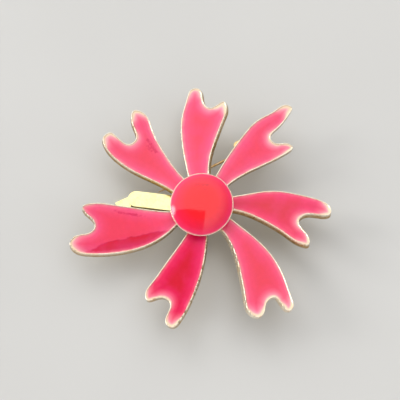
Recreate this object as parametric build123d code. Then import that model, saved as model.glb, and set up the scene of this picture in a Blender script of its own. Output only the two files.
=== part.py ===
from build123d import *
import os
from math import acos, atan2, cos, degrees, hypot, radians, sin, sqrt

# Enamelled metal flower on a spring hair clip, with a brooch pin beside the clip.
# Millimetres. +Z points out of the flower's face. The origin lies on the flower's axis,
# in the plane of the lower jaw's flat underside. +X runs along the clip, away from its nose.

# ---------------- driving dimensions ----------------
lower_jaw_thickness = 0.7
jaw_gap = 4.6                   # clear height between the jaws, where the hair goes
upper_jaw_thickness = 0.5
hub_thickness = 0.8
tray_depth = 1.5                # petal rim to petal underside

upper_jaw_bottom = lower_jaw_thickness + jaw_gap
hub_bottom = upper_jaw_bottom + upper_jaw_thickness
hub_top = hub_bottom + hub_thickness
rim_level = hub_top + tray_depth  # petal rims at the flower's axis

# petals
bowl_radius = 300.0             # the petals lie in one very shallow bowl
tray_wall = 0.4
tray_floor = 0.5
enamel_recess = 0.15            # enamel surface below the rim
inset_steps = 48                # points that the pocket's outline is offset at
root_end_radius = 4.2           # hidden inner end of every petal
root_end_half_width = 1.25

# hub, button and rivet. The button is a flared cup, a little longer along Y, filled with
# enamel whose crown is part of a ball.
hub_radius = 6.4
boss_radius = 3.9
rivet_radius = 0.9
rivet_head_radius = 1.7
rivet_head_height = 0.6
rivet_depth_in_cup = 0.8
cup_foot = (6.6, 7.1)           # half axes where the cup stands on the petals
cup_mouth = (8.35, 8.95)        # half axes of its rim
cup_height = 1.9
cup_floor = 1.2
cup_wall = 0.35
cup_lower_wall = 0.7
button_height = 4.2             # petal rims to the top of the crown
crown_radius = 18.0

# clip
clip_y = 1.0                    # the clip's centre line lies a little off the flower's axis
jaw_width = 4.4
tail_end_x = 7.6
upper_nose_x = -20.1
lower_shoulder_x = -20.9
lower_nose_x = -24.0
nose_tip_width = 0.3
nose_rounding = 0.12
tail_corner_radius = 1.0
lip_x = -19.3
lip_width = 2.6
lip_thickness = 0.5
lip_teeth = 3
tooth_flat = (0.35, 0.65)       # where a tooth's flat tip starts and ends, as shares of it
closing_gap = 0.05              # between the lip and the lower jaw when closed
end_flat = 0.02                 # half of what the nose's full round leaves straight
hinge_x, hinge_z = -1.5, 2.95
ear_radius = 1.7
ear_thickness = 0.5
ear_base_half_length = 2.7
ear_gap = 0.2                   # between an upper ear and the lower ear inside it
hinge_pin_radius = 0.6
hinge_pin_head_radius = 0.9
hinge_pin_head_height = 0.3
running_clearance = 0.05

# torsion spring round the hinge pin
wire_radius = 0.2
coil_radius = 1.08
coil_pitch = 0.45
coil_turns = 3
leg_end_x = 4.8
spring_first_y = clip_y + 0.77

# brooch pin
stem_radius = 0.35
stem_z = 5.2
stem_hinge = (9.8, 19.36)
stem_tip = (-12.3, 3.85)
stem_taper = 2.5
stem_tip_radius = 0.1
eye_radius = 0.9
eye_hole_radius = 0.45
eye_thickness = 0.7
pin_rivet_radius = 0.4
pin_rivet_head_radius = 0.65
pin_rivet_head_height = 0.3
pin_ear_gap = 0.9
pin_ear_thickness = 0.5
pin_ear_radius = 1.0
pad_back, pad_front, pad_width, pad_corner = -2.0, 3.1, 5.0, 1.2
pad_bottom_z, pad_top_z = 7.0, 7.9
pad_cut_rise = 0.8              # the pads are cut by their petal, and again this far above it

# catch with its turning lock collar
catch_distance = 23.2           # from the stem's hinge
catch_length = 2.2
barrel_outer, barrel_inner, barrel_half_opening = 1.4, 1.05, 84
collar_outer, collar_inner, collar_half_opening = 1.0, 0.6, 50
collar_tab_angle = -66          # from straight down
collar_tab_reach, collar_tab_length, collar_tab_thickness = 2.3, 1.2, 0.5
catch_foot_length, catch_foot_width = 3.0, 2.2

# The petals' outlines are drawn on the plane of the rims, as they look from an eye in front of
# the flower and above it. Each is carried from there onto its petal, which is bowled and rolled.
eye_distance, eye_elevation, eye_side = 260.0, 68.0, 7.4
sight_steps = 12                # rounds in which the carried points settle

# Each petal: where its root leaves the hub, the way it points, how far it is rolled about
# that line, and its outline, anticlockwise side first: edge, long prong, notch, prong, edge.
petals = [
    dict(root=(-2.0, 9.2), heading=91.5, roll=-14, outline=[
        (-4.9, 8.6), (-6.9, 14.5), (-8.4, 20.5), (-8.95, 26.0), (-8.3, 32.0),
        (-7.6, 34.6), (-6.2, 35.3), (-4.8, 34.6), (-3.8, 31.6), (-1.7, 29.65), (0.5, 31.1),
        (2.0, 32.1), (2.95, 30.6), (2.7, 27.0), (1.2, 20.0), (0.35, 13.5), (0.7, 9.9)]),
    dict(root=(4.3, 8.1), heading=48.7, roll=6, outline=[
        (2.5, 9.3), (4.9, 15.3), (8.2, 21.9), (11.9, 27.5), (16.5, 31.3),
        (19.6, 33.35), (21.0, 32.6), (20.6, 30.8), (17.5, 25.5), (16.05, 22.6), (17.3, 21.3),
        (21.3, 21.5), (22.4, 20.4), (21.4, 19.0), (17.2, 15.7), (11.5, 11.8), (6.4, 7.3)]),
    dict(root=(8.2, 2.3), heading=-9.2, roll=-11, outline=[
        (8.0, 4.2), (13.0, 5.8), (19.0, 7.2), (26.0, 6.9), (31.5, 5.9),
        (34.0, 4.2), (34.1, 2.5), (31.0, 1.7), (27.4, 1.3), (26.0, -0.4), (27.1, -2.7),
        (29.2, -5.3), (29.1, -6.9), (27.4, -6.95), (22.5, -4.6), (17.0, -1.9), (8.5, 0.3)]),
    dict(root=(7.2, -4.2), heading=-55.7, roll=-3, outline=[
        (8.3, -2.4), (13.0, -5.4), (19.0, -10.1), (23.5, -16.2), (26.0, -21.6),
        (26.6, -24.7), (25.7, -25.5), (24.2, -24.6), (21.5, -22.4), (19.9, -24.0),
        (19.5, -26.9), (18.1, -28.2), (16.0, -27.4), (14.2, -23.6), (12.2, -17.0),
        (9.8, -11.0), (6.6, -6.4)]),
    dict(root=(0.3, -8.1), heading=-108.4, roll=6, outline=[
        (2.5, -7.9), (2.65, -13.0), (2.2, -19.0), (0.8, -25.5), (-1.3, -31.3),
        (-3.4, -33.6), (-5.0, -32.7), (-4.9, -30.0), (-4.75, -27.2), (-6.4, -26.2),
        (-8.9, -26.9), (-10.5, -27.4), (-11.3, -26.0), (-10.2, -22.6), (-7.4, -17.0),
        (-4.5, -11.3), (-2.8, -7.6)]),
    dict(root=(-7.0, -4.4), heading=190.4, roll=-7, outline=[
        (-6.0, -6.1), (-10.0, -10.6), (-16.0, -14.2), (-22.0, -16.1), (-28.0, -17.0),
        (-31.9, -16.2), (-33.0, -14.4), (-31.4, -12.1), (-28.3, -10.95), (-27.3, -9.4),
        (-28.3, -7.3), (-30.9, -5.3), (-31.5, -4.0), (-30.0, -2.9), (-24.0, -2.3),
        (-16.0, -2.5), (-8.1, -2.3)]),
    dict(root=(-7.1, 5.7), heading=138.6, roll=5, outline=[
        (-8.6, 3.6), (-14.0, 5.8), (-20.0, 8.0), (-25.5, 11.2), (-28.5, 14.3),
        (-29.3, 17.2), (-27.8, 18.6), (-24.5, 16.7), (-21.8, 15.9), (-20.4, 17.8),
        (-21.4, 20.6), (-22.7, 23.9), (-22.4, 26.1), (-20.2, 26.1), (-16.4, 21.1),
        (-11.0, 13.1), (-6.0, 7.9)]),
]
bowl_seam_angle = 172           # keeps the bowl's seam in the gap where the clip shows


# ---------------- helpers ----------------
def upright(face, bottom, top):
    """Extrude a face drawn on XY from one height to another."""
    return extrude(Pos(0, 0, bottom) * face, amount=top - bottom, dir=(0, 0, 1))


def save(shape, name):
    shape.label = name
    export_step(shape, f"parts/{name}.step")


# ---------------- flower head ----------------
def bowl(depth):
    """A ball whose lowest point lies this far below the rims' level on the axis."""
    centre = Pos(0, 0, rim_level + bowl_radius)
    return centre * Rot(0, 0, bowl_seam_angle) * Sphere(bowl_radius + depth)


def roll_axis(petal):
    heading = radians(petal["heading"])
    return Axis((*petal["root"], rim_level), (cos(heading), sin(heading), 0))


def on_petal(place, petal):
    """A place of the petal's plan once it is bowled and rolled, with Z = 0 at the rims' level."""
    rise = bowl_radius - sqrt(bowl_radius ** 2 - place.X ** 2 - place.Y ** 2)
    root = Vector(*petal["root"])
    return root + (Vector(place.X, place.Y, rise) - root).rotate(roll_axis(petal), petal["roll"])


def seen(point):
    """Where a point appears on the plane of the rims."""
    side, elevation = radians(eye_side), radians(eye_elevation)
    eye = eye_distance * Vector(
        sin(side) * cos(elevation), -cos(side) * cos(elevation), sin(elevation))
    return eye + (point - eye) * (eye.Z / (eye.Z - point.Z))


def plan_outline(petal):
    """The outline in plan, before the petal is rolled, which looks as it is drawn."""
    points = []
    for drawn in petal["outline"]:
        place = Vector(*drawn)
        for _ in range(sight_steps):
            place += Vector(*drawn) - seen(on_petal(place, petal))
        points.append((place.X, place.Y))
    return points


def petal_face(petal, inset=0.0):
    """The petal's outline, or the same outline moved inwards by a wall's thickness."""
    edge = Spline(*plan_outline(petal))
    if inset:
        steps = [step / inset_steps for step in range(inset_steps + 1)]
        edge = Spline(*[edge @ step + (edge % step).rotate(Axis.Z, -90) * inset
                        for step in steps])
    angle = atan2(petal["root"][1], petal["root"][0])
    out, side = Vector(cos(angle), sin(angle)), Vector(-sin(angle), cos(angle))
    inner_middle = out * (root_end_radius + inset)
    half_width = side * (root_end_half_width - inset)
    root = Polyline(edge @ 1, inner_middle - half_width, inner_middle + half_width, edge @ 0)
    return make_face(edge + root)


def make_petal(petal):
    """The tray with its raised rim, and the enamel that fills it."""
    face = petal_face(petal)
    low, high = hub_bottom - tray_depth, rim_level + 3 * tray_depth
    pocket = upright(petal_face(petal, tray_wall), low, high) & bowl(tray_depth - tray_floor)
    tray = (upright(face, low, high) & bowl(tray_depth)) - bowl(0) - pocket
    enamel = pocket - bowl(enamel_recess)
    axis, angle = roll_axis(petal), petal["roll"]
    return tray.rotate(axis, angle), enamel.rotate(axis, angle)


def flared(foot, foot_z, mouth, mouth_z):
    """A solid that widens from one ellipse up to another."""
    return loft([Pos(0, 0, foot_z) * Ellipse(*foot), Pos(0, 0, mouth_z) * Ellipse(*mouth)])


def make_button():
    """The cup's outer shape, the cup, and the enamel that fills and crowns it."""
    base, mouth_z = rim_level, rim_level + cup_height
    top = rim_level + button_height
    outside = flared(cup_foot, base, cup_mouth, mouth_z)
    share = cup_floor / cup_height
    floor = [foot + (mouth - foot) * share - cup_lower_wall
             for foot, mouth in zip(cup_foot, cup_mouth)]
    mouth = [half_axis - cup_wall for half_axis in cup_mouth]
    fill = flared(floor, base + cup_floor, mouth, mouth_z)
    ball = Pos(0, 0, top - crown_radius) * Sphere(crown_radius)
    crown = upright(Ellipse(*mouth), mouth_z, top + cup_floor) & ball
    return outside, outside - fill, fill + crown


def make_centre():
    hole = Cylinder(rivet_radius, 2 * rim_level)
    head = Pos(0, 0, hub_bottom + rivet_head_height / 2) * Cone(
        rivet_head_radius, rivet_radius, rivet_head_height)
    hub = Pos(0, 0, (hub_bottom + hub_top) / 2) * Cylinder(hub_radius, hub_thickness)
    hub += Pos(0, 0, (hub_top + rim_level) / 2) * Cylinder(boss_radius, tray_depth)
    hub = hub - Pos(0, 0, rim_level) * hole - head

    rivet_top = rim_level + rivet_depth_in_cup
    shank_height = rivet_top - hub_bottom
    rivet = head + Pos(0, 0, hub_bottom + shank_height / 2) * Cylinder(rivet_radius, shank_height)
    outside, cup, enamel = make_button()
    return hub, rivet, cup - rivet, enamel, outside


# ---------------- clip ----------------
def strip(x_low, x_high):
    centre = ((x_low + x_high) / 2, clip_y)
    return Pos(*centre) * Rectangle(x_high - x_low, jaw_width)


def ear(y_inner, direction, base_z):
    """One hinge ear: a round eye carried by a tapered web from the jaw's plate."""
    reach = base_z - hinge_z
    web = Polyline((-ear_base_half_length, reach), (ear_base_half_length, reach),
                   (ear_radius, 0), (-ear_radius, 0), close=True)
    face = make_face(web) + Circle(ear_radius)
    plane = Plane(origin=(hinge_x, y_inner, hinge_z), x_dir=(1, 0, 0), z_dir=(0, -1, 0))
    return extrude(plane * face, amount=-direction * ear_thickness)


def both_ears(inner_distance, base_z):
    return (ear(clip_y + inner_distance, 1, base_z)
            + ear(clip_y - inner_distance, -1, base_z))


def hinge_hole(radius):
    return Pos(hinge_x, clip_y, hinge_z) * Rot(90, 0, 0) * Cylinder(radius, 2 * jaw_width)


def make_upper_jaw():
    plate = strip(upper_nose_x, tail_end_x)
    nose = plate.vertices().group_by(Axis.X)[0]
    plate = fillet(nose, jaw_width / 2 - end_flat)
    plate = fillet(plate.vertices().group_by(Axis.X)[-1], tail_corner_radius)
    jaw = upright(plate, upper_jaw_bottom, hub_bottom)

    lip_bottom = lower_jaw_thickness + closing_gap
    tooth = lip_width / lip_teeth
    left = clip_y - lip_width / 2
    outline = [(left, upper_jaw_bottom)]
    for number in range(lip_teeth):
        outline.append((left + number * tooth, lip_bottom + tooth))
        outline += [(left + (number + share) * tooth, lip_bottom) for share in tooth_flat]
    outline.append((left + lip_width, lip_bottom + tooth))
    outline.append((left + lip_width, upper_jaw_bottom))
    plane = Plane(origin=(lip_x, 0, 0), x_dir=(0, 1, 0), z_dir=(1, 0, 0))
    jaw += extrude(plane * make_face(Polyline(*outline, close=True)), amount=lip_thickness)

    jaw += both_ears(jaw_width / 2 - ear_thickness, upper_jaw_bottom)
    return jaw - hinge_hole(hinge_pin_radius)


def make_lower_jaw():
    half, tip = jaw_width / 2, nose_tip_width / 2
    outline = [(tail_end_x, clip_y - half), (tail_end_x, clip_y + half),
               (lower_shoulder_x, clip_y + half), (lower_nose_x, clip_y + tip),
               (lower_nose_x, clip_y - tip), (lower_shoulder_x, clip_y - half)]
    plate = make_face(Polyline(*outline, close=True))
    plate = fillet(plate.vertices().group_by(Axis.X)[-1], tail_corner_radius)
    plate = fillet(plate.vertices().group_by(Axis.X)[0], nose_rounding)
    jaw = upright(plate, 0, lower_jaw_thickness)
    inner = jaw_width / 2 - 2 * ear_thickness - ear_gap
    jaw += both_ears(inner, lower_jaw_thickness)
    return jaw - hinge_hole(hinge_pin_radius + running_clearance)


def make_hinge_pin():
    """Pin pressed through the upper ears, with a flat head outside each ear."""
    pin = Cylinder(hinge_pin_radius, jaw_width)
    for end in (1, -1):
        head_middle = end * (jaw_width + hinge_pin_head_height) / 2
        pin += Pos(0, 0, head_middle) * Cylinder(hinge_pin_head_radius, hinge_pin_head_height)
    return Pos(hinge_x, clip_y, hinge_z) * Rot(90, 0, 0) * pin


def make_spring():
    """Coil round the hinge pin, whose two legs push the finger ends apart."""
    leg_tips = [(leg_end_x, upper_jaw_bottom - wire_radius),
                (leg_end_x, lower_jaw_thickness + wire_radius)]
    leaving = []
    for (x, z), side in zip(leg_tips, (1, -1)):
        dx, dz = x - hinge_x, z - hinge_z
        lean = degrees(acos(coil_radius / hypot(dx, dz)))
        leaving.append(degrees(atan2(dz, dx)) + side * lean)
    turns = coil_turns + (360 + leaving[1] - leaving[0]) / 360
    start = radians(leaving[0])
    plane = Plane(origin=(hinge_x, spring_first_y, hinge_z),
                  x_dir=(cos(start), 0, sin(start)), z_dir=(0, -1, 0))
    coil_path = plane * Helix(coil_pitch, turns * coil_pitch, coil_radius)
    section = Plane(origin=coil_path @ 0, z_dir=coil_path % 0) * Circle(wire_radius)
    spring = sweep(section, path=coil_path)
    for (x, z), point in zip(leg_tips, (coil_path @ 0, coil_path @ 1)):
        leg = Line(point, (x, point.Y, z))
        leg_section = Plane(origin=leg @ 0, z_dir=leg % 0) * Circle(wire_radius)
        spring += sweep(leg_section, path=leg)
        spring += Pos(*point) * Sphere(wire_radius)
    return spring


# ---------------- brooch pin ----------------
stem_length = hypot(stem_hinge[0] - stem_tip[0], stem_hinge[1] - stem_tip[1])
stem_direction = ((stem_tip[0] - stem_hinge[0]) / stem_length,
                  (stem_tip[1] - stem_hinge[1]) / stem_length, 0)
# local X runs along the stem to its point, local Y across it, local Z up to the petals
pin_frame = Plane(origin=(*stem_hinge, stem_z), x_dir=stem_direction, z_dir=(0, 0, 1))


def make_pin_bracket(petal_tray):
    """Pad on the back of a petal with two ears for the stem's rivet."""
    reach = pad_top_z - stem_z
    pad = Pos((pad_back + pad_front) / 2, 0) * RectangleRounded(
        pad_front - pad_back, pad_width, pad_corner)
    bracket = upright(pad, pad_bottom_z - stem_z, reach)
    for side in (1, -1):
        web = Pos(0, 0, reach / 2) * Box(2 * pin_ear_radius, pin_ear_thickness, reach)
        eye = Rot(90, 0, 0) * Cylinder(pin_ear_radius, pin_ear_thickness)
        bracket += Pos(0, side * (pin_ear_gap + pin_ear_thickness) / 2, 0) * (web + eye)
    bracket -= Rot(90, 0, 0) * Cylinder(pin_rivet_radius, pad_width)
    bracket = pin_frame * bracket
    above = petal_tray.moved(Pos(0, 0, pad_cut_rise))
    return (bracket - petal_tray - above).solids().sort_by(SortBy.VOLUME)[-1]


def make_pin_rivet():
    width = pin_ear_gap + 2 * pin_ear_thickness
    rivet = Cylinder(pin_rivet_radius, width)
    for end in (1, -1):
        middle = end * (width + pin_rivet_head_height) / 2
        rivet += Pos(0, 0, middle) * Cylinder(pin_rivet_head_radius, pin_rivet_head_height)
    return pin_frame * Rot(90, 0, 0) * rivet


def make_stem():
    straight = stem_length - stem_taper
    stem = Pos(straight / 2, 0, 0) * Rot(0, 90, 0) * Cylinder(stem_radius, straight)
    stem += Pos(straight + stem_taper / 2, 0, 0) * Rot(0, 90, 0) * Cone(
        stem_radius, stem_tip_radius, stem_taper)
    stem += Rot(90, 0, 0) * Cylinder(eye_radius, eye_thickness)
    stem -= Rot(90, 0, 0) * Cylinder(eye_hole_radius, 2 * eye_thickness)
    return pin_frame * stem


def open_ring(outer, inner, half_opening):
    """A ring round the stem's line, open downwards."""
    reach = 2 * outer
    corner = radians(half_opening)
    wedge = Polyline((0, 0), (reach * sin(corner), -reach * cos(corner)),
                     (reach * sin(corner), -2 * reach), (-reach * sin(corner), -2 * reach),
                     (-reach * sin(corner), -reach * cos(corner)), close=True)
    face = Circle(outer) - Circle(inner) - make_face(wedge)
    section = Plane(origin=(catch_distance, 0, 0), x_dir=(0, 1, 0), z_dir=(1, 0, 0))
    return extrude(section * face, amount=catch_length / 2, both=True)


def make_catch(petal_tray):
    barrel = open_ring(barrel_outer, barrel_inner, barrel_half_opening)
    foot_bottom = (barrel_inner + barrel_outer) / 2
    foot_top = rim_level - stem_z
    foot = Pos(catch_distance, 0, (foot_bottom + foot_top) / 2) * Box(
        catch_foot_length, catch_foot_width, foot_top - foot_bottom)
    bore = Pos(catch_distance, 0, 0) * Rot(0, 90, 0) * Cylinder(barrel_inner, 2 * catch_length)
    catch = pin_frame * (barrel + (foot - bore))
    above = petal_tray.moved(Pos(0, 0, pad_cut_rise))
    return (catch - petal_tray - above).solids().sort_by(SortBy.VOLUME)[-1]


def make_collar():
    collar = open_ring(collar_outer, collar_inner, collar_half_opening)
    middle = (collar_inner + collar_outer) / 2
    tab_size = collar_tab_reach - middle
    tab = Pos(0, 0, -(middle + tab_size / 2)) * Box(
        collar_tab_length, collar_tab_thickness, tab_size)
    tab = Pos(catch_distance, 0, 0) * Rot(collar_tab_angle, 0, 0) * tab
    return pin_frame * (collar + tab)


# ---------------- build and save ----------------
os.makedirs("parts", exist_ok=True)

hub_disc, centre_rivet, button_cup, button_enamel, button_outside = make_centre()
under_hub = Pos(0, 0, hub_top / 2) * Cylinder(hub_radius, hub_top)
boss_space = Pos(0, 0, rim_level / 2) * Cylinder(boss_radius, rim_level)

trays = []
for number, petal in enumerate(petals, start=1):
    tray, enamel = make_petal(petal)
    tray = tray - under_hub - boss_space - button_outside
    enamel = enamel - under_hub - boss_space - button_outside
    trays.append(tray)
    save(tray, f"petal_{number}_tray")
    save(enamel, f"petal_{number}_enamel")

save(hub_disc, "hub_disc")
save(centre_rivet, "centre_rivet")
save(button_cup, "centre_button_cup")
save(button_enamel, "centre_button_enamel")

save(make_upper_jaw(), "clip_upper_jaw")
save(make_lower_jaw(), "clip_lower_jaw")
save(make_hinge_pin(), "clip_hinge_pin")
save(make_spring(), "clip_spring")

save(make_pin_bracket(trays[1]), "pin_bracket")
save(make_pin_rivet(), "pin_rivet")
save(make_stem(), "pin_stem")
save(make_catch(trays[6]), "pin_catch")
save(make_collar(), "pin_catch_collar")
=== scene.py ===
import math

import bmesh
import bpy
import numpy as np
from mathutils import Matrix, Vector, noise
from mathutils.geometry import delaunay_2d_cdt


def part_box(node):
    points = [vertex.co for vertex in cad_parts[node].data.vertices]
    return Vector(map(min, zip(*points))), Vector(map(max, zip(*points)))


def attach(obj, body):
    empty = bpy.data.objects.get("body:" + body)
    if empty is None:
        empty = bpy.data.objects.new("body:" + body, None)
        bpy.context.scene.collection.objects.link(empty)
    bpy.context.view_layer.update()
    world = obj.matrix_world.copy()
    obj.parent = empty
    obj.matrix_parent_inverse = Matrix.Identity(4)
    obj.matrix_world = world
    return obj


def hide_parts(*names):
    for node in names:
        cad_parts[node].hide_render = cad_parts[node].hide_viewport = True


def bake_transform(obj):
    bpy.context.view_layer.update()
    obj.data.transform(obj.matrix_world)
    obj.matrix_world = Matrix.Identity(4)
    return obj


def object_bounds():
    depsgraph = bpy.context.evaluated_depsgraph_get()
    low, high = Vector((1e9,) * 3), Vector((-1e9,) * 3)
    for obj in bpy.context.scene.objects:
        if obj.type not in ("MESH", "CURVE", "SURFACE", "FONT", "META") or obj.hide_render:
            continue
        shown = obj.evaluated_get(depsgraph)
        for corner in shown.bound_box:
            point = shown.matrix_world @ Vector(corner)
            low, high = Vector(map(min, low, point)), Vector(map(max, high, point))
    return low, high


# Enamelled flower on a spring hair clip, with a brooch pin beside the clip.
# Metres, in the CAD's frame: +Z out of the flower's face, the flower's axis at X = Y = 0.

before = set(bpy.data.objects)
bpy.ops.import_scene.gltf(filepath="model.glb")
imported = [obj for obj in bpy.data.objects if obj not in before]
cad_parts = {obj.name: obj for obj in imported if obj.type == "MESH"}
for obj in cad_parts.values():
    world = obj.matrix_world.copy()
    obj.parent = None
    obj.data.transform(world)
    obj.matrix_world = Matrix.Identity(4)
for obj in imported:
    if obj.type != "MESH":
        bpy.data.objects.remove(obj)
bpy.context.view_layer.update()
scene = bpy.context.scene
mm = 0.001

# ---------------- petals: shape ----------------
outline_step = 0.22 * mm        # between neighbouring points of a petal's outline
section_height = -1.1 * mm      # a level inside every tray's floor plate, below its enamel
underside_height = -1.35 * mm
floor_height = -0.85 * mm
wall = 0.4 * mm
enamel_grid = 0.34 * mm
plate_grid = 0.9 * mm
# section of a tray's wall, from the underside over the rim to the floor: inset, height
wall_section = [
    (0.34, -1.35), (0.22, -1.34), (0.11, -1.28), (0.03, -1.17), (0.0, -1.02), (0.0, -0.75),
    (0.0, -0.45), (0.0, -0.15), (0.02, -0.02), (0.05, 0.07), (0.10, 0.13), (0.17, 0.15),
    (0.25, 0.13), (0.32, 0.07), (0.38, -0.04), (0.4, -0.2), (0.4, -0.85)]
outer_inset = 0.345             # how far in the underside's ring of that section lies
chip_bottom = -0.5              # chips in the rim go down the wall to this height
chip_inset = 0.2                # and reach inwards to this inset
chip_scale, chip_seed = 1700, 10
chip_least, chip_gain = 0.08, 4  # unevenness that makes no chip, and how fast the rest deepens
chip_drop = 0.8                 # how far a chip lowers the rim, as a share of its depth
waver_depth, waver_scale = 0.05 * mm, 900
waver_lift = 0.4                # how far the rim's waver also lifts it
walled_from, backed_from = (-0.40, -0.02), (-1.34, -1.22)  # soft limits, heights in mm
# section of the enamel where it climbs the wall: distance from the outline, height
meniscus = [(0.33, 0.07), (0.39, 0.02), (0.48, -0.015), (0.62, -0.035)]
enamel_crown = 0.03 * mm        # how far the enamel's middle stands above its edge
crown_reach = 2.4 * mm

# How each petal differs. tone: deepness of the enamel's red. root: share of that tone at the
# root. dark_reflection: how much deeper red is painted along the anticlockwise side, a painted
# dark reflection where that side's gloss stops showing the bright light. bare: how far the gold
# shows through at the anticlockwise tip, the clockwise tip and the notch between them. curl: how
# far the anticlockwise side bends down, in mm. splay: which way, and how far in mm, the foot of
# the tray's wall stands out. chips: the same for the depth of the chips in its rim. dark: how much
# darker the wall is painted, partly tarnish and partly painted shade for the dark surroundings
# that the wall mirrors.
petal_looks = {
    1: dict(tone=0.10, root=1.0, dark_reflection=0.0, bare=(0.7, 1.7, 0.4), curl=0.0, splay=(0.30, 0.0),
            chips=(0.03, 0.0), dark=1.0),
    2: dict(tone=0.10, root=1.0, dark_reflection=0.0, bare=(1.3, 0.7, 0.65), curl=0.0, splay=(0.0, -0.15),
            chips=(0.0, 0.0), dark=1.0),
    3: dict(tone=0.85, root=1.1, dark_reflection=0.0, bare=(0.9, 0.6, 0.5), curl=0.0, splay=(0.0, -0.45),
            chips=(0.0, -0.03), dark=1.0),
    4: dict(tone=0.45, root=0.9, dark_reflection=0.0, bare=(0.9, 1.0, 0.5), curl=0.0, splay=(-0.60, 0.1),
            chips=(-0.22, 0.0), dark=0.1),
    5: dict(tone=1.00, root=1.0, dark_reflection=0.0, bare=(0.9, 0.6, 0.5), curl=0.0, splay=(0.2, 0.0),
            chips=(0.22, 0.0), dark=0.8),
    6: dict(tone=0.16, root=0.3, dark_reflection=1.1, bare=(0.9, 0.15, 0.0), curl=0.7, splay=(0.0, -0.45),
            chips=(-0.20, 0.0), dark=0.8),
    7: dict(tone=0.22, root=0.8, dark_reflection=0.0, bare=(1.0, 1.1, 0.4), curl=0.0, splay=(-0.15, -0.25),
            chips=(-0.05, 0.0), dark=1.0),
}
tip_reach = 5.0                 # mm from a tip over which the gold shows through
root_reach = 12.0, 18.0         # mm from the axis over which the enamel gets its full tone
# The painted dark reflection along a petal's anticlockwise side is painted as deeper red where that
# side's gloss stops showing the bright light.
dark_reflection_middle, dark_reflection_half_length = 21.0, 9.5  # mm from the axis: where the painted dark reflection is widest
dark_reflection_width, dark_reflection_narrowing = 3.65, 2.2      # mm from the rim, there and less at its ends
dark_reflection_side = -0.3                # inward normals below this along Y are the anticlockwise side's
ragged_scales = (620, 0.40), (1900, 0.16)  # how the edge of that painted dark reflection wanders, in mm
dark_reflection_edge, dark_reflection_rim = (-0.1, 0.25), (0.2, 0.9)  # its soft limits towards the middle and the rim
dark_reflection_easing, dark_reflection_eased = 0.2, (0.5, 3.0)  # how much it weakens again, and how deep inside
shine = 0.5                     # specular level of the enamel
less_shine = {5: 0.15, 6: 0.32}  # petals whose enamel has lost some of it
# Dark marks in the enamel: petal, the two ends of the mark, its half width and its strength.
stains = [
    (7, (-17.1, 17.3), (-14.3, 14.1), 0.8, 0.9),
    (7, (-16.8, 15.4), (-15.6, 14.2), 0.9, 0.6),
    (6, (-21.2, -4.9), (-16.6, -4.6), 0.55, 1.0),
    (6, (-22.5, -4.6), (-14.5, -4.9), 0.7, 0.5),
]


# ---------------- mesh helpers ----------------
def new_piece(name, vertices, faces, smooth_angle=40):
    """A mesh object whose edges sharper than the angle stay sharp."""
    mesh = bpy.data.meshes.new(name)
    mesh.from_pydata([tuple(v) for v in vertices], [], faces)
    mesh.validate()
    piece = bpy.data.objects.new(name, mesh)
    scene.collection.objects.link(piece)
    work = bmesh.new()
    work.from_mesh(mesh)
    bmesh.ops.remove_doubles(work, verts=work.verts, dist=1e-7)
    bmesh.ops.recalc_face_normals(work, faces=work.faces)
    work.to_mesh(mesh)
    work.free()
    mesh.shade_smooth()
    mesh.set_sharp_from_angle(angle=math.radians(smooth_angle))
    return piece


def ring_faces(ring_count, size, first=0):
    """Quads between rings of points that follow each other."""
    faces = []
    for ring in range(ring_count - 1):
        low, high = first + ring * size, first + (ring + 1) * size
        for i in range(size):
            j = (i + 1) % size
            faces.append((low + i, low + j, high + j, high + i))
    return faces


def closed_normals(loop):
    """Unit normals that point into a loop drawn anticlockwise."""
    along = np.roll(loop, -1, axis=0) - np.roll(loop, 1, axis=0)
    along /= np.linalg.norm(along, axis=1)[:, None]
    return np.stack([-along[:, 1], along[:, 0]], axis=1)


def smoothed(loop, rounds, weight=0.5, back=-0.52):
    """The loop with its tessellation evened out and its size kept."""
    for _ in range(rounds):
        for step in (weight, back):
            middle = (np.roll(loop, 1, axis=0) + np.roll(loop, -1, axis=0)) / 2
            loop = loop + step * (middle - loop)
    return loop


def resampled(loop, step):
    closed = np.vstack([loop, loop[:1]])
    lengths = np.r_[0, np.cumsum(np.linalg.norm(np.diff(closed, axis=0), axis=1))]
    count = int(round(lengths[-1] / step))
    places = np.arange(count) * lengths[-1] / count
    return np.stack([np.interp(places, lengths, closed[:, k]) for k in (0, 1)], axis=1)


def distance_to(loop, points):
    """Distance from each point to a closed loop."""
    a, b = loop, np.roll(loop, -1, axis=0)
    ab = b - a
    best = np.full(len(points), np.inf)
    for start, side in zip(a, ab):
        t = np.clip(((points - start) @ side) / (side @ side), 0, 1)
        gap = points - start - t[:, None] * side
        best = np.minimum(best, np.einsum("ij,ij->i", gap, gap))
    return np.sqrt(best)


def inside(loop, points):
    x, y = points[:, 0], points[:, 1]
    odd = np.zeros(len(points), bool)
    for (x1, y1), (x2, y2) in zip(loop, np.roll(loop, -1, axis=0)):
        crosses = (y1 > y) != (y2 > y)
        if y1 != y2:
            odd ^= crosses & (x < (x2 - x1) * (y - y1) / (y2 - y1) + x1)
    return odd


def grid_inside(loop, spacing, margin):
    """Points of a triangular grid that lie inside the loop, at least the margin from it."""
    low, high = loop.min(axis=0), loop.max(axis=0)
    rows = np.arange(low[1], high[1], spacing * math.sqrt(3) / 2)
    points = []
    for number, y in enumerate(rows):
        shift = (number % 2) * spacing / 2
        for x in np.arange(low[0] + shift, high[0], spacing):
            points.append((x, y))
    points = np.array(points)
    points = points[inside(loop, points)]
    return points[distance_to(loop, points) > margin]


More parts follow.
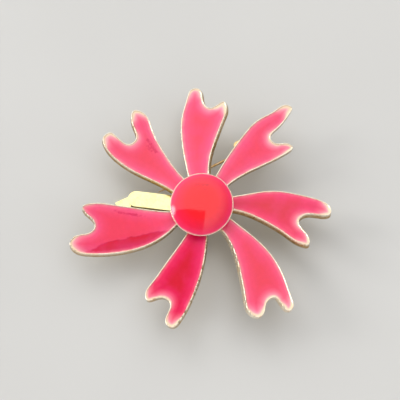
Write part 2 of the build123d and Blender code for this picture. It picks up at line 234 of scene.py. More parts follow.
def triangulated(loops, extra):
    """Triangles over the area inside the first loop, with every loop's edges kept."""
    points, edges = [], []
    for loop in loops:
        first, size = len(points), len(loop)
        points += [Vector(p) for p in loop]
        edges += [(first + i, first + (i + 1) % size) for i in range(size)]
    points += [Vector(p) for p in extra]
    made = delaunay_2d_cdt(points, edges, [], 1, 1e-9)
    return np.array([tuple(p) for p in made[0]]), [tuple(face) for face in made[2]]


def smoothstep(low, high, value):
    t = np.clip((value - low) / (high - low), 0, 1)
    return t * t * (3 - 2 * t)


def cad_mesh(node):
    """A CAD node's corners and triangles."""
    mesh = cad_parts[node].data
    mesh.calc_loop_triangles()
    points = np.array([v.co for v in mesh.vertices])
    return points, np.array([t.vertices for t in mesh.loop_triangles])


def normals_and_areas(points, triangles):
    a, b, c = (points[triangles[:, k]] for k in range(3))
    cross = np.cross(b - a, c - a)
    area = np.linalg.norm(cross, axis=1)
    keep = area > 0
    return cross[keep] / area[keep, None], area[keep], triangles[keep]


def section_loop(points, triangles, height):
    """The longest loop that a level plane cuts from a mesh, anticlockwise from above."""
    work = bmesh.new()
    corners = [work.verts.new(p) for p in points]
    for triangle in triangles:
        work.faces.new([corners[i] for i in triangle])
    bmesh.ops.remove_doubles(work, verts=work.verts, dist=1e-7)
    cut = bmesh.ops.bisect_plane(
        work, geom=work.verts[:] + work.edges[:] + work.faces[:], dist=1e-9,
        plane_co=(0, 0, height), plane_no=(0, 0, 1))["geom_cut"]
    neighbours = {}
    for edge in (item for item in cut if isinstance(item, bmesh.types.BMEdge)):
        a, b = edge.verts
        neighbours.setdefault(a, []).append(b)
        neighbours.setdefault(b, []).append(a)
    loops, seen = [], set()
    for start in neighbours:
        if start in seen:
            continue
        loop, here = [], start
        while here is not None:
            seen.add(here)
            loop.append(tuple(here.co.xy))
            here = next((n for n in neighbours[here] if n not in seen), None)
        loops.append(np.array(loop))
    work.free()
    longest = max(loops, key=len)
    x, y = longest.T
    area = np.sum(x * np.roll(y, -1) - np.roll(x, -1) * y)
    return longest if area > 0 else longest[::-1]


# ---------------- petals ----------------
class Petal:
    """A petal's own axes, outline and curved surface, read from its CAD nodes.

    Local X points outwards, local Y to the anticlockwise side, and a height is measured
    from the surface that the enamel follows.
    """

    def __init__(self, number):
        self.number = number
        self.look = petal_looks[number]
        points, triangles = cad_mesh(f"petal_{number}_tray")
        normals, areas, _ = normals_and_areas(points, triangles)
        walls = np.abs(normals[:, 2]) < 0.5
        spread = (normals[walls].T * areas[walls]) @ normals[walls]
        up = np.linalg.eigh(spread)[1][:, 0]
        up *= np.sign(up[2])
        out = points.mean(axis=0) * (1, 1, 0)
        out -= (out @ up) * up
        out /= np.linalg.norm(out)
        self.axes = np.array([out, np.cross(up, out), up])

        top, top_triangles = cad_mesh(f"petal_{number}_enamel")
        normals, _, kept = normals_and_areas(top, top_triangles)
        face = top[np.unique(kept[normals @ up > 0.9])] @ self.axes.T
        self.surface = np.linalg.lstsq(self.terms(face), face[:, 2], rcond=None)[0]

        flat = points @ self.axes.T
        flat[:, 2] -= self.terms(flat) @ self.surface
        loop = resampled(section_loop(flat, triangles, section_height), outline_step)
        self.outline = resampled(smoothed(loop, 6), outline_step)
        self.inward = closed_normals(self.outline)
        self.find_tips()

    @staticmethod
    def terms(points):
        x, y = points[:, 0], points[:, 1]
        return np.stack([np.ones(len(x)), x, y, x * x, x * y, y * y], axis=1)

    def find_tips(self):
        """The outermost point of each prong, and the bottom of the notch between them."""
        reach = np.hypot(*self.outline.T)
        peaks = []
        window = 14
        for i in range(len(reach)):
            near = reach[np.arange(i - window, i + window + 1) % len(reach)]
            if reach[i] == near.max() and reach[i] > 0.6 * reach.max():
                peaks.append(i)
        peaks = sorted(peaks, key=lambda i: -reach[i])[:2]
        left, right = sorted(peaks, key=lambda i: -self.outline[i, 1])
        between = np.arange(right, right + (left - right) % len(reach)) % len(reach)
        notch = between[np.argmin(reach[between])]
        self.tips = (self.outline[left], self.outline[right], self.outline[notch])

    def inset(self, distance):
        """The outline moved inwards. A distance may differ from point to point."""
        return self.outline + self.inward * np.reshape(distance, (-1, 1))

    def bend(self, points):
        """How far the petal's anticlockwise side curls down at these points."""
        across = points[:, 1] / self.outline[:, 1].max()
        return self.look["curl"] * mm * smoothstep(0.15, 1.15, across) ** 1.5

    def facing(self, name):
        """How far a look that is given as a direction counts at each point of the outline."""
        way = self.axes @ (*self.look[name], 0)
        return np.maximum(-self.inward @ way[:2], 0) * mm

    def placed(self, points, height):
        """Points of the flat petal, at a height over its surface, in the CAD's frame."""
        local = np.column_stack([points, np.zeros(len(points))])
        local[:, 2] = self.terms(local) @ self.surface + height - self.bend(points)
        return local @ self.axes


def rim_waver(petal, amount, scale, seed):
    """A gentle unevenness along the rim, the same on every run."""
    at = petal.outline * scale
    return np.array([amount * noise.noise(Vector((x, y, seed))) for x, y in at])


def make_tray(petal):
    """The stamped metal tray: underside, wall, rounded rim and floor in one closed mesh."""
    waver = rim_waver(petal, waver_depth, waver_scale, petal.number)
    chips = rim_waver(petal, 1.0, chip_scale, chip_seed + petal.number)
    chips = np.maximum(chips - chip_least, 0)
    chips *= chip_gain * petal.facing("chips")
    splay = petal.facing("splay")
    vertices, rings = [], []
    for inset, height in wall_section:
        share = inset * mm / wall
        depth = min(max(height * mm / underside_height, 0), 1) * (inset <= outer_inset)
        chipped = chips * (height > chip_bottom) * (inset < chip_inset)
        ring = petal.inset(inset * mm + waver * share - splay * depth + chipped)
        rings.append(ring)
        lowered = (waver * waver_lift - chips * chip_drop) * (height > 0)
        vertices.append(petal.placed(ring, height * mm + lowered))
    size = len(petal.outline)
    faces = ring_faces(len(rings), size)
    points = np.vstack(vertices)
    for ring, height in ((rings[0], underside_height), (rings[-1], floor_height)):
        grid = grid_inside(ring, plate_grid, plate_grid / 2)
        plate, triangles = triangulated([ring], grid)
        first = len(points)
        points = np.vstack([points, petal.placed(plate, height)])
        faces += [tuple(first + i for i in triangle) for triangle in triangles]
    piece = new_piece(f"petal_{petal.number}_gilt_tray", points, faces, 60)
    local = np.array([v.co for v in piece.data.vertices]) @ petal.axes.T
    height = local[:, 2] - petal.terms(local) @ petal.surface + petal.bend(local[:, :2])
    # Darker gold down the wall: partly tarnish, partly painted shade for the dark surroundings that
    # the wall mirrors.
    walled = 1 - smoothstep(*walled_from, height / mm)
    backed = 1 - smoothstep(*backed_from, height / mm)
    put_attribute(piece, "tarnish_and_shade", petal.look["dark"] * walled)
    put_attribute(piece, "back", backed)
    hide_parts(f"petal_{petal.number}_tray")
    return piece


def enamel_height(distance):
    """The enamel's section: it climbs the wall a little and crowns towards the middle."""
    steps, heights = np.array(meniscus).T * mm
    edge = np.interp(distance, steps, heights)
    rise = smoothstep(steps[-1], crown_reach, distance)
    return edge + (enamel_crown - heights[-1]) * rise


def make_enamel(petal):
    """The glossy fill, with how far each point is from the petal's edge and its tips."""
    rings = [petal.inset(distance * mm) for distance, _ in meniscus]
    inner = rings[-1]
    grid = grid_inside(inner, enamel_grid, 0.6 * enamel_grid)
    top, triangles = triangulated(rings, grid)
    distance = distance_to(petal.outline, top)
    height = enamel_height(distance)
    bottom_ring = rings[0]
    points = petal.placed(top, height)
    faces = list(triangles)
    first = len(points)
    size = len(bottom_ring)
    points = np.vstack([points, petal.placed(bottom_ring, meniscus[0][1] * mm),
                        petal.placed(bottom_ring, floor_height)])
    faces += ring_faces(2, size, first)
    grid = grid_inside(bottom_ring, plate_grid, plate_grid / 2)
    plate, triangles = triangulated([bottom_ring], grid)
    first = len(points)
    points = np.vstack([points, petal.placed(plate, floor_height)])
    faces += [tuple(first + i for i in triangle) for triangle in triangles]
    piece = new_piece(f"petal_{petal.number}_enamel_fill", points, faces, 50)

    local = np.array([v.co for v in piece.data.vertices]) @ petal.axes.T
    flat = local[:, :2]
    put_attribute(piece, "edge", distance_to(petal.outline, flat) / mm)
    near_tip = np.zeros(len(flat))
    for tip, amount in zip(petal.tips, petal.look["bare"]):
        away = np.linalg.norm(flat - tip, axis=1) / mm
        near_tip = np.maximum(near_tip, amount * (1 - smoothstep(0.8, tip_reach, away)))
    put_attribute(piece, "tip", near_tip)
    put_attribute(piece, "tone", enamel_tone_and_dark_reflection(petal, flat / mm))
    plan = np.array([v.co.xy for v in piece.data.vertices]) / mm
    own = [mark for number, *mark in stains if number == petal.number]
    put_attribute(piece, "stain", darkened(plan, own))
    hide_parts(f"petal_{petal.number}_enamel")
    return piece


def enamel_tone_and_dark_reflection(petal, flat):
    """How deep the enamel's red is at points of the flat petal, in mm, with the painted dark
    reflection along the anticlockwise side added.
    """
    look = petal.look
    reach = np.hypot(*flat.T)
    full = smoothstep(*root_reach, reach)
    tone = look["tone"] * (look["root"] + (1 - look["root"]) * full)
    # Painted dark reflection: deeper red along the anticlockwise side, where its gloss stops
    # showing the bright light.
    if not look["dark_reflection"]:
        return tone
    side = petal.outline[petal.inward[:, 1] < dark_reflection_side] / mm
    away = np.array([np.linalg.norm(side - place, axis=1).min() for place in flat])
    ragged = sum(size * np.array([noise.noise(Vector((x, y, 0)) * mm * scale) for x, y in flat])
                 for scale, size in ragged_scales)
    width = dark_reflection_width - dark_reflection_narrowing * ((flat[:, 0] - dark_reflection_middle) / dark_reflection_half_length) ** 2
    depth = width - away + ragged
    dark_reflection_share = smoothstep(*dark_reflection_edge, depth) * (1 - dark_reflection_easing * smoothstep(*dark_reflection_eased, depth))
    dark_reflection_share *= (flat[:, 1] > 0) * smoothstep(*dark_reflection_rim, away)
    return tone + look["dark_reflection"] * dark_reflection_share


def distance_to_stroke(points, start, end):
    along = end - start
    t = np.clip(((points - start) @ along) / (along @ along), 0, 1)
    return np.linalg.norm(points - start - t[:, None] * along, axis=1)


def darkened(points, marks):
    """How dark each point is, in mm, under marks given as strokes."""
    dark = np.zeros(len(points))
    for start, end, half_width, strength in marks:
        away = distance_to_stroke(points, np.array(start), np.array(end))
        dark = np.maximum(dark, strength * (1 - smoothstep(0.2, 1.0, away / half_width)))
    return dark


def put_attribute(piece, name, values):
    layer = piece.data.attributes.new(name, "FLOAT", "POINT")
    layer.data.foreach_set("value", np.asarray(values, np.float32))


# ---------------- button ----------------
cup_low, cup_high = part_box("centre_button_cup")
dome_low, dome_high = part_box("centre_button_enamel")
rim_level = cup_low[2]
cup_radius = cup_high[0]
cup_length = cup_high[1] / cup_high[0]  # the button is a little longer along Y
cup_foot = 6.6 * mm
cup_rim = 0.16 * mm             # the enamel covers the rest of the rim
cup_wall_foot = 0.7 * mm
cup_foot_inset, cup_foot_rise = 0.25 * mm, 0.06 * mm  # the rounding under its foot
cup_flare = np.linspace(0.1, 0.9, 9)  # shares of its height at which the flare has points
cup_enamel_line = 0.16 * mm     # the enamel meets the wall this far below the rim
dome_overlap = 0.02 * mm        # how far the enamel reaches out and up past that line
dome_skirt = 0.2 * mm
dome_fullness = 2.3             # 2 is a plain dome, more is flatter on top
dome_rings = 44
around = 180
# Dark marks in the dome's enamel: the two ends of the mark, its half width and its strength.
dome_marks = [
    ((-2.3, 4.6), (0.9, 4.9), 1.0, 0.7),
    ((-1.3, 3.5), (1.1, 3.5), 0.8, 0.6),
]


def lathe(name, profile, steps=around, length=1.0, smooth_angle=40):
    """A closed solid of revolution about the flower's axis, stretched along Y."""
    rings = [(r, z) for r, z in profile if r > 0]
    angles = np.arange(steps) * math.tau / steps
    vertices = [(r * math.cos(a), r * length * math.sin(a), z) for r, z in rings for a in angles]
    faces = ring_faces(len(rings), steps)
    for ring, (r, z) in ((0, profile[0]), (len(rings) - 1, profile[-1])):
        middle = len(vertices)
        vertices.append((0, 0, z))
        first = ring * steps
        faces += [(first + i, first + (i + 1) % steps, middle) for i in range(steps)]
    return new_piece(name, vertices, faces, smooth_angle)


def make_button_cup():
    base, mouth = cup_low[2], cup_high[2]
    floor = dome_low[2]
    profile = [(0, base), (cup_foot - cup_foot_inset, base), (cup_foot, base + cup_foot_rise)]
    for share in cup_flare:
        radius = cup_foot + (cup_radius - cup_foot) * math.sin(share * math.pi / 2)
        profile.append((radius, base + share * (mouth - base)))
    rim = [(0.0, -0.10), (0.01, -0.03), (0.04, 0.01), (0.08, 0.02), (0.12, 0.01), (0.15, -0.03)]
    profile += [(cup_radius - inset * mm, mouth + height * mm) for inset, height in rim]
    profile += [(cup_radius - cup_rim, mouth - cup_enamel_line),
                (cup_radius - cup_wall_foot - cup_rim, floor), (0, floor)]
    piece = lathe("centre_button_gilt_cup", profile, length=cup_length, smooth_angle=60)
    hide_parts("centre_button_cup")
    return piece


def make_button_dome():
    mouth, floor, top = cup_high[2], dome_low[2], dome_high[2]
    dome_radius = cup_radius - cup_rim + dome_overlap
    edge_z = mouth + dome_overlap
    profile = [(0, floor), (dome_radius - cup_wall_foot, floor), (dome_radius, mouth - dome_skirt)]
    for share in np.linspace(1, 0, dome_rings):
        height = edge_z + (top - edge_z) * (1 - share ** dome_fullness)
        profile.append((dome_radius * share, height))
    piece = lathe("centre_button_dome", profile, length=cup_length, smooth_angle=60)
    plan = np.array([v.co.xy for v in piece.data.vertices]) / (1, cup_length)
    put_attribute(piece, "edge", (cup_radius - np.hypot(*plan.T)) / mm)
    place = np.array([v.co.xy for v in piece.data.vertices]) / mm
    put_attribute(piece, "stain", darkened(place, dome_marks))
    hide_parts("centre_button_enamel")
    return piece


# ---------------- clip spring ----------------
spring_wire = 0.2 * mm
spring_radius = 1.08 * mm
spring_pitch = 0.45 * mm
spring_full_turns = 3
spring_hinge = Vector((-1.5, 1.77, 2.95)) * mm  # on the hinge's axis, where the coil starts
leg_end_x = 4.8 * mm
upper_jaw_thickness = 0.5 * mm
steps_in_a_turn = 28
wire_sides = 12


def tube(name, path, radius, sides):
    """A round wire along a path, with rounded ends."""
    path = [Vector(point) for point in path]
    way = (path[1] - path[0]).normalized()
    across = way.orthogonal().normalized()
    rings = []
    for number, point in enumerate(path):
        after = path[min(number + 1, len(path) - 1)]
        before = path[max(number - 1, 0)]
        turned = (after - before).normalized()
        across.rotate(way.rotation_difference(turned))
        way = turned
        end = number in (0, len(path) - 1)
        for share, shift in (((0.6, -0.8), (1.0, 0.0)) if end else ((1.0, 0.0),)):
            rings.append((point, way, across.copy(), radius * share, shift * radius))
    rings[-2], rings[-1] = rings[-1], (*rings[-2][:4], -rings[-2][4])
    vertices = []
    for point, way, across, size, shift in rings:
        side = way.cross(across)
        for k in range(sides):
            angle = math.tau * k / sides
            vertices.append(point + way * shift
                            + size * (across * math.cos(angle) + side * math.sin(angle)))
    faces = ring_faces(len(rings), sides)
    faces.append(tuple(range(sides)))
    faces.append(tuple(len(vertices) - 1 - k for k in range(sides)))
    return new_piece(name, vertices, faces, 50)


def make_spring():
    """Coil round the hinge pin, whose legs push the jaws' finger ends apart."""
    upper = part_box("clip_upper_jaw")[1].z - upper_jaw_thickness - spring_wire
    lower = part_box("clip_spring")[0].z + spring_wire
    leaving = []
    for z, side in ((upper, 1), (lower, -1)):
        dx, dz = leg_end_x - spring_hinge.x, z - spring_hinge.z
        leaving.append(math.atan2(dz, dx) + side * math.acos(spring_radius / math.hypot(dx, dz)))
    turn = math.tau * (spring_full_turns + 1) + leaving[1] - leaving[0]
    count = round(steps_in_a_turn * turn / math.tau)
    coil = []
    for step in range(count + 1):
        angle = turn * step / count
        coil.append(spring_hinge + Vector((
            spring_radius * math.cos(leaving[0] + angle), -spring_pitch * angle / math.tau,
            spring_radius * math.sin(leaving[0] + angle))))
    first_end = Vector((leg_end_x, coil[0].y, upper))
    last_end = Vector((leg_end_x, coil[-1].y, lower))
    path = [first_end] + coil + [last_end]
    spring = tube("clip_spring_wire", path, spring_wire, wire_sides)
    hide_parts("clip_spring")
    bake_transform(spring)
    return spring


# ---------------- materials ----------------
class Nodes:
    """A node tree, with short calls for the nodes that the materials and the world share."""

    def __init__(self, tree):
        self.tree = tree

    def add(self, kind, **settings):
        node = self.tree.nodes.new("ShaderNode" + kind)
        for name, value in settings.items():
            setattr(node, name, value)
        return node

    def link(self, output, target):
        self.tree.links.new(output, target)

    def feed(self, target, value):
        """Gives a socket a number, a colour or another node's output."""
        if isinstance(value, bpy.types.NodeSocket):
            self.link(value, target)
        elif isinstance(value, tuple):
            target.default_value = (*value, 1)
        else:
            target.default_value = value

    def attribute(self, name):
        return self.add("Attribute", attribute_name=name).outputs["Fac"]

    def position(self):
        return self.add("TexCoord").outputs["Object"]

    def noise(self, scale, detail=4.0, roughness=0.5, distortion=0.0, stretch=None):
        node = self.add("TexNoise")
        where = self.position()
        if stretch:
            mapping = self.add("Mapping")
            mapping.inputs["Scale"].default_value = stretch
            self.link(where, mapping.inputs["Vector"])
            where = mapping.outputs["Vector"]
        self.link(where, node.inputs["Vector"])
        node.inputs["Scale"].default_value = scale
        node.inputs["Detail"].default_value = detail
        node.inputs["Roughness"].default_value = roughness
        node.inputs["Distortion"].default_value = distortion
        return node.outputs["Fac"]

    def ramp(self, value, stops, interpolation="LINEAR"):
        """Stops are (place, colour) with three numbers, or (place, number)."""
        node = self.add("ValToRGB")
        node.color_ramp.interpolation = interpolation
        elements = node.color_ramp.elements
        while len(elements) < len(stops):
            elements.new(0.5)
        for element, (place, colour) in zip(elements, stops):
            element.position = place
            if not isinstance(colour, tuple):
                colour = (colour,) * 3
            element.color = (*colour, 1)
        self.link(value, node.inputs["Fac"])
        return node.outputs["Color"]

    def math(self, operation, a, b=0.0, clamp=False):
        node = self.add("Math", operation=operation, use_clamp=clamp)
        self.feed(node.inputs[0], a)
        self.feed(node.inputs[1], b)
        return node.outputs["Value"]

    def mix(self, factor, a, b, blend="MIX"):
        node = self.add("Mix", data_type="RGBA", blend_type=blend)
        sockets = {item.identifier: item for item in node.inputs}
        for name, value in (("Factor_Float", factor), ("A_Color", a), ("B_Color", b)):
            self.feed(sockets[name], value)
        return next(item for item in node.outputs if item.identifier == "Result_Color")

    def fade(self, value, low, high):
        """0 below low, 1 above high, smooth between them."""
        node = self.add("MapRange", interpolation_type="SMOOTHSTEP")
        self.feed(node.inputs["Value"], value)
        node.inputs["From Min"].default_value = low
        node.inputs["From Max"].default_value = high
        return node.outputs["Result"]

    def along(self, vector, axis):
        """How far a vector reaches along an axis."""
        node = self.add("VectorMath", operation="DOT_PRODUCT")
        self.link(vector, node.inputs[0])
        node.inputs[1].default_value = axis
        return node.outputs["Value"]


class Shader(Nodes):
    """A material made round one Principled surface."""

    def __init__(self, name):
        self.material = bpy.data.materials.new(name)
        self.material.use_nodes = True
        super().__init__(self.material.node_tree)
        self.surface = self.tree.nodes["Principled BSDF"]

    def put(self, socket, value):
        self.feed(self.surface.inputs[socket], value)

    def bump(self, height, strength, distance):
        node = self.add("Bump")
        node.inputs["Strength"].default_value = strength
        node.inputs["Distance"].default_value = distance
        self.link(height, node.inputs["Height"])
        self.link(node.outputs["Normal"], self.surface.inputs["Normal"])


def linear(red, green, blue):
    """A colour given as it looks on a screen, 0 to 255, in the linear light that shaders use."""
    def one(value):
        value /= 255
        return value / 12.92 if value <= 0.04045 else ((value + 0.055) / 1.055) ** 2.4
    return one(red), one(green), one(blue)


full_colour = 5.0               # mm from the rim over which the petals' colour changes
dome_centre = 8.4               # the same for the dome


def enamel_material(name, specular):
    """Translucent enamel: pale where it thins out at the rim, pink, then coral in the middle."""
    s = Shader(name)
    edge, tip = s.attribute("edge"), s.attribute("tip")
    uneven = s.math("MULTIPLY", s.math("SUBTRACT", s.noise(380, 3), 0.5), 0.9)
    thinner = s.math("ADD", s.math("MULTIPLY", tip, -0.8), uneven)
    depth = s.math("DIVIDE", s.math("ADD", edge, thinner), full_colour, clamp=True)
    light = s.ramp(depth, [
        (0.066, linear(252, 172, 170)), (0.10, linear(252, 128, 150)),
        (0.24, linear(249, 86, 130)), (0.50, linear(248, 70, 110)), (0.86, linear(248, 62, 96))])
    deep = s.ramp(depth, [
        (0.066, linear(238, 140, 142)), (0.10, linear(234, 86, 116)), (0.24, linear(229, 36, 90)),
        (0.50, linear(218, 16, 70)), (0.86, linear(208, 12, 46))])
    colour = s.mix(s.attribute("tone"), light, deep)
    # Red past the deepest tone comes only from the painted dark reflection: painted shade, not
    # deeper enamel.
    darkest_reflection = s.math("MULTIPLY", s.fade(s.attribute("tone"), 1.05, 1.25), 0.7)
    colour = s.mix(darkest_reflection, colour, linear(226, 6, 50))
    pale = s.math("MULTIPLY", tip, s.fade(edge, 3.0, 0.2))
    colour = s.mix(s.math("MULTIPLY", pale, 0.75), colour, linear(254, 186, 196))
    blush = s.math("MULTIPLY", s.fade(s.noise(170, 2), 0.44, 0.68), 0.15)
    colour = s.mix(blush, colour, linear(246, 62, 144))
    mottle = s.ramp(s.noise(900, 5, 0.6), [(0.35, 0.96), (0.65, 1.0)])
    colour = s.mix(1.0, colour, mottle, "MULTIPLY")
    lumps = s.math("MULTIPLY", s.math("SUBTRACT", s.noise(1500, 5, 0.65), 0.5), 2.4)
    stained = s.fade(s.math("ADD", s.attribute("stain"), lumps), 0.15, 1.0)
    stained = s.math("MULTIPLY", stained, s.fade(s.attribute("stain"), 0.0, 0.6))
    colour = s.mix(s.math("MULTIPLY", stained, 0.7), colour, linear(212, 10, 76))
    patch = s.math("MULTIPLY", s.math("SUBTRACT", s.noise(800, 4, 0.6), 0.5), 0.8)
    width = s.math("ADD", 0.42, s.math("MULTIPLY", tip, s.math("ADD", 0.7, patch)))
    worn = s.math("MULTIPLY", s.fade(s.math("DIVIDE", edge, width), 1.05, 0.40),
                  s.fade(tip, 0.0, 0.6))
    s.put("Base Color", s.mix(worn, colour, linear(252, 226, 190)))
    s.put("Roughness", s.ramp(s.noise(1500, 5, 0.6), [(0.3, 0.20), (0.75, 0.28)]))
    s.put("IOR", 1.5)
    s.put("Specular IOR Level", specular)
    s.bump(s.noise(260, 2), 0.2, 0.0003)
    return s.material


def button_material():
    s = Shader("button_enamel")
    edge = s.math("DIVIDE", s.attribute("edge"), dome_centre)
    uneven = s.math("MULTIPLY", s.math("SUBTRACT", s.noise(300, 2), 0.5), 0.05)
    depth = s.math("ADD", edge, uneven, clamp=True)
    # The pale pink at the very edge is a painted highlight, the light that the dome's rim mirrors.
    colour = s.ramp(depth, [
        (0.022, linear(252, 150, 160)), (0.05, linear(250, 40, 100)), (0.20, linear(250, 16, 68)),
        (0.50, linear(255, 14, 36)), (0.80, linear(255, 14, 30))])
    mottle = s.ramp(s.noise(700, 5, 0.6), [(0.35, 0.95), (0.65, 1.0)])
    colour = s.mix(1.0, colour, mottle, "MULTIPLY")
    lumps = s.math("MULTIPLY", s.math("SUBTRACT", s.noise(1500, 5, 0.65), 0.5), 2.0)
    marked = s.math("MULTIPLY", s.fade(s.math("ADD", s.attribute("stain"), lumps), 0.1, 1.0),
                    s.attribute("stain"))
    s.put("Base Color", s.mix(marked, colour, linear(206, 4, 40)))
    s.put("Roughness", s.ramp(s.noise(1200, 4, 0.6), [(0.3, 0.08), (0.75, 0.14)]))
    s.put("IOR", 1.5)
    s.put("Coat Weight", 0.3)
    s.put("Coat Roughness", 0.03)
    s.bump(s.noise(220, 2), 0.15, 0.0003)
    return s.material


# where the painted shade between the clip's jaws lies, on their inner faces, in metres along Z and
# X, each a soft limit
above_plate = (0.00045, 0.00060)
below_plate = (0.00529, 0.00522)
behind_lip = (-0.0200, -0.0188)


def gold_material(name, light, dark, shine, dull, grain=0.2, tarnish_and_shade=None, inner=None, back=None):
    """Gilt metal: patches of thinner plating, fine marks, sides darker partly from tarnish and
    partly from painted shade, and painted shade on the clip's inner faces between its jaws.
    """
    s = Shader(name)
    patches = s.noise(520, 6, 0.62, 0.4)
    colour = s.ramp(patches, [(0.32, dark), (0.58, light)], "EASE")
    if tarnish_and_shade:
        # Walls painted darker: partly tarnish, partly painted shade.
        uneven = s.math("MULTIPLY", s.math("SUBTRACT", s.noise(1100, 5, 0.6), 0.5), 0.8)
        colour = s.mix(s.math("MULTIPLY", s.attribute("tarnish_and_shade"),
                              s.math("ADD", 0.8, uneven), clamp=True), colour, tarnish_and_shade)
    if back:
        colour = s.mix(s.attribute("back"), colour,
                       s.ramp(s.noise(260, 5, 0.55), [(0.3, back[0]), (0.7, back[1])], "EASE"))
    # Painted shade: the clip's inner faces between its jaws are painted dark, where the jaws shade
    # each other.
    if inner:
        x, z = s.along(s.position(), (1, 0, 0)), s.along(s.position(), (0, 0, 1))
        between = s.math("MULTIPLY", s.fade(z, *above_plate), s.fade(z, *below_plate))
        colour = s.mix(s.math("MULTIPLY", between, s.fade(x, *behind_lip)), colour, inner)
    s.put("Base Color", colour)
    s.put("Metallic", 1.0)
    s.put("Roughness", s.ramp(s.noise(2400, 6, 0.7), [(0.3, shine), (0.72, dull)]))
    s.bump(s.noise(1800, 6, 0.65), grain, 0.00006)
    return s.material


def steel_material(name):
    """Drawn wire, worn to a dull grey with brassy remains of its plating."""
    s = Shader(name)
    remains = s.noise(600, 5, 0.6)
    s.put("Base Color", s.ramp(remains, [
        (0.40, linear(196, 160, 104)), (0.60, linear(214, 190, 154))]))
    s.put("Metallic", 1.0)
    s.put("Roughness", s.ramp(s.noise(2600, 5, 0.6), [(0.3, 0.22), (0.7, 0.38)]))
    s.bump(s.noise(2000, 4, 0.6), 0.2, 0.00004)
    return s.material


def assign(obj, material):
    obj.data.materials.clear()
    obj.data.materials.append(material)


soft_edge = 0.06 * mm


def round_edges(obj):
    """Takes the sharpness off a stamped or turned part's edges."""
    bevel = obj.modifiers.new("soft_edges", "BEVEL")
    bevel.width = soft_edge
    bevel.segments = 2
    bevel.limit_method = "ANGLE"
    bevel.angle_limit = math.radians(40)
    bevel.use_clamp_overlap = True


# ---------------- build the pieces ----------------
# The trays' walls are painted darker brown-gold: partly tarnish, partly painted shade for the dark
# surroundings they mirror.
petal_gilt = gold_material("petal_gilt", linear(255, 244, 224), linear(250, 224, 190), 0.20, 0.34,
                           tarnish_and_shade=linear(158, 122, 66),
                           back=(linear(222, 190, 128), linear(238, 210, 150)))
plain_gilt = gold_material("plain_gilt", linear(232, 204, 142), linear(190, 154, 96), 0.26, 0.42)
# inner: painted shade on the faces between the clip's jaws.
clip_gilt = gold_material("clip_gilt", linear(255, 246, 184), linear(252, 240, 170), 0.16, 0.28,
                          grain=0.12, inner=linear(128, 108, 72))
pin_gilt = gold_material("pin_gilt", linear(236, 208, 146), linear(186, 150, 92), 0.28, 0.46)
wire_steel = steel_material("worn_wire")
enamels = {level: enamel_material(f"petal_enamel_{100 * level:.0f}", level)
           for level in (shine, *less_shine.values())}
button_enamel = button_material()

for number in petal_looks:
    petal = Petal(number)
    tray = make_tray(petal)
    assign(tray, petal_gilt)
    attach(tray, "flower_head")
    fill = make_enamel(petal)
    assign(fill, enamels[less_shine.get(number, shine)])
    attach(fill, "flower_head")

cup = make_button_cup()
assign(cup, petal_gilt)
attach(cup, "flower_head")
dome = make_button_dome()
assign(dome, button_enamel)
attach(dome, "flower_head")

spring = make_spring()
assign(spring, wire_steel)

carried_over = {
    plain_gilt: ("hub_disc", "centre_rivet"),
    clip_gilt: ("clip_upper_jaw", "clip_lower_jaw", "clip_hinge_pin"),
    pin_gilt: ("pin_bracket", "pin_catch", "pin_catch_collar", "pin_rivet"),
    wire_steel: ("pin_stem",),
}
for material, nodes in carried_over.items():
    for node in nodes:
        assign(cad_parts[node], material)
        round_edges(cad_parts[node])

# ---------------- floor, light and camera ----------------
floor_mesh = bpy.data.meshes.new("floor")
floor_half = 1.5
floor_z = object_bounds()[0][2]
floor_corners = ((-1, -1), (1, -1), (1, 1), (-1, 1))
floor_mesh.from_pydata([(x * floor_half, y * floor_half, floor_z) for x, y in floor_corners],
                       [], [(0, 1, 2, 3)])
floor = bpy.data.objects.new("floor", floor_mesh)
scene.collection.objects.link(floor)
s = Shader("pale_floor")
s.put("Base Color", s.ramp(s.noise(12, 2), [(0.3, (0.60, 0.60, 0.59)), (0.7, (0.63, 0.63, 0.62))]))
s.put("Roughness", 0.85)
assign(floor, s.material)

target = Vector((0, 0, rim_level))
camera_elevation = math.radians(68.0)
camera_azimuth = math.radians(7.4)
camera_distance = 0.26


def direction(azimuth, elevation):
    """From the flower towards a place seen from the front, angles in radians."""
    return Vector((math.sin(azimuth) * math.cos(elevation),
                   -math.cos(azimuth) * math.cos(elevation), math.sin(elevation)))


camera_data = bpy.data.cameras.new("camera")
camera = bpy.data.objects.new("camera", camera_data)
scene.collection.objects.link(camera)
camera.location = target + camera_distance * direction(camera_azimuth, camera_elevation)
camera.rotation_euler = (target - camera.location).to_track_quat("-Z", "Y").to_euler()
camera_data.sensor_width = 36
camera_data.lens = 88.2
camera_data.shift_x = -0.00425
camera_data.shift_y = 0.017
camera_data.clip_start = 0.005
scene.camera = camera


def softbox(name, place, width, height, power):
    lamp = bpy.data.lights.new(name, "AREA")
    lamp.shape = "RECTANGLE"
    lamp.size, lamp.size_y = width, height
    lamp.energy = power
    holder = bpy.data.objects.new(name, lamp)
    scene.collection.objects.link(holder)
    holder.location = place
    holder.rotation_euler = (target - place).to_track_quat("-Z", "Y").to_euler()
    holder.visible_glossy = False


mirror = direction(camera_azimuth, camera_elevation)
mirror = Vector((-mirror.x, -mirror.y, mirror.z))  # a level mirror shows the camera this way


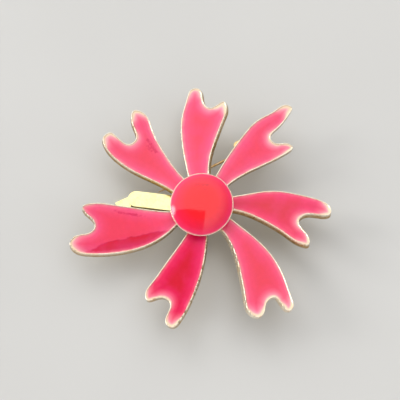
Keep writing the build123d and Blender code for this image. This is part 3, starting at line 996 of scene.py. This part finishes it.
# How bright the room's parts are, and where they lie. Across and up are the slopes of a
# direction from the camera's mirrored line of sight.
bright, dim, sides, window = 1.43, 0.33, 0.62, 9.0
corner_slant = 0.12             # how the dim corner's upper edge leans
corner_across, corner_up = (0.14, 0.10), (-0.25, -0.29)
brightest_left = 0.18           # how far the ceiling's middle is moved to the left
ceiling_edge = (0.36, 0.76)     # cosines between which it gives way to the walls
right_dimming = 0.28
glint_normal = (-0.520, -0.190, 0.833)  # the window shows across the dome's lower left edge
window_edge = (0.978, 0.994)
room_colour = (1.0, 0.985, 0.965, 1)


def studio_world():
    """A bright soft ceiling with one dimmer corner, which the glossy button mirrors.

    The walls of the room are dimmer, most of all on the right.
    """
    world = bpy.data.worlds.new("studio")
    world.use_nodes = True
    n = Nodes(world.node_tree)
    right = Vector((math.cos(camera_azimuth), math.sin(camera_azimuth), 0))
    away = mirror.cross(right)
    way = n.add("TexCoord").outputs["Generated"]
    depth = n.along(way, mirror)
    across = n.math("DIVIDE", n.along(way, right), depth)
    up = n.math("DIVIDE", n.along(way, away), depth)
    slanted = n.math("ADD", up, n.math("MULTIPLY", across, corner_slant))
    corner = n.math("MULTIPLY", n.fade(across, *corner_across), n.fade(slanted, *corner_up))
    ceiling = n.math("SUBTRACT", bright, n.math("MULTIPLY", corner, bright - dim))
    brightest = (mirror - brightest_left * right).normalized()
    high = n.fade(n.along(way, brightest), *ceiling_edge)
    wall_light = n.math("SUBTRACT", sides, n.math("MULTIPLY", n.along(way, right), right_dimming))
    strength = n.math("ADD", n.math("MULTIPLY", ceiling, high),
                      n.math("MULTIPLY", n.math("SUBTRACT", 1.0, high), wall_light))
    seen = direction(camera_azimuth, camera_elevation)
    glinting = Vector(glint_normal).normalized()
    opening = n.along(way, 2 * glinting.dot(seen) * glinting - seen)
    glint = n.math("MULTIPLY", n.fade(opening, *window_edge), window)
    strength = n.math("ADD", strength, glint)
    background = world.node_tree.nodes["Background"]
    background.inputs["Color"].default_value = room_colour
    n.link(strength, background.inputs["Strength"])
    scene.world = world


studio_world()
softbox("key_box", target + Vector((-0.35, 0.45, 0.6)), 0.4, 0.4, 1.0)
softbox("fill_box", target + Vector((0.6, -0.15, 0.4)), 0.3, 0.3, 0.4)
scene.view_settings.view_transform = "Standard"
